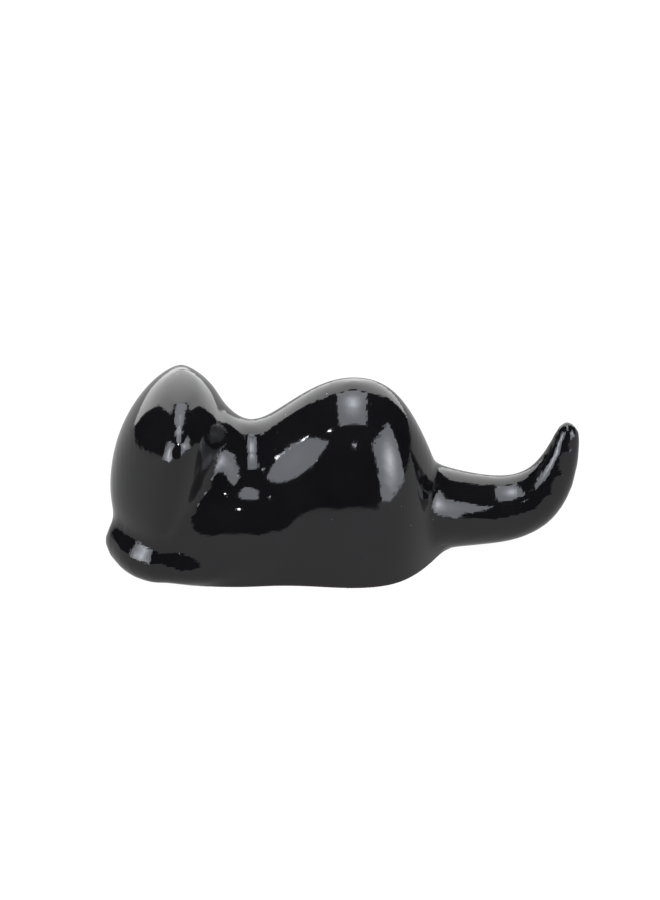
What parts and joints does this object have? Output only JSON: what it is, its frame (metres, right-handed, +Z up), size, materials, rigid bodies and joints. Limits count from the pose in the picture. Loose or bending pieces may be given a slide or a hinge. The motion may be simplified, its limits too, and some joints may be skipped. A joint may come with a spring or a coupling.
{
  "type": "ceramic cat figurine",
  "caption": "Glossy black ceramic cat lying with its head on folded forelegs, a rounded hump of a back and a thick tail that curls up at its end",
  "frame": {"origin": "on the table, in the middle of the figurine's length and width", "axes": "+X towards the tail, -X towards the nose, -Y the cat's left side, +Z up"},
  "size_m": [0.1201, 0.0452, 0.0468],
  "materials": {
    "fired_clay": "unglazed, matt",
    "fired_slip": "unglazed, matt",
    "black_glaze": "high gloss"
  },
  "bodies": {
    "root": {"body_shell": "fired_clay", "foot_plate": "fired_clay", "head_shell": "fired_clay", "left_ear": "fired_clay", "right_ear": "fired_clay", "left_foreleg": "fired_clay", "right_foreleg": "fired_clay", "tail": "fired_clay", "foot_slip": "fired_slip", "neck_slip": "fired_slip", "tail_slip": "fired_slip", "left_ear_slip": "fired_slip", "right_ear_slip": "fired_slip", "left_foreleg_slip": "fired_slip", "right_foreleg_slip": "fired_slip", "glaze_coat": "black_glaze"}
  },
  "joints": []
}
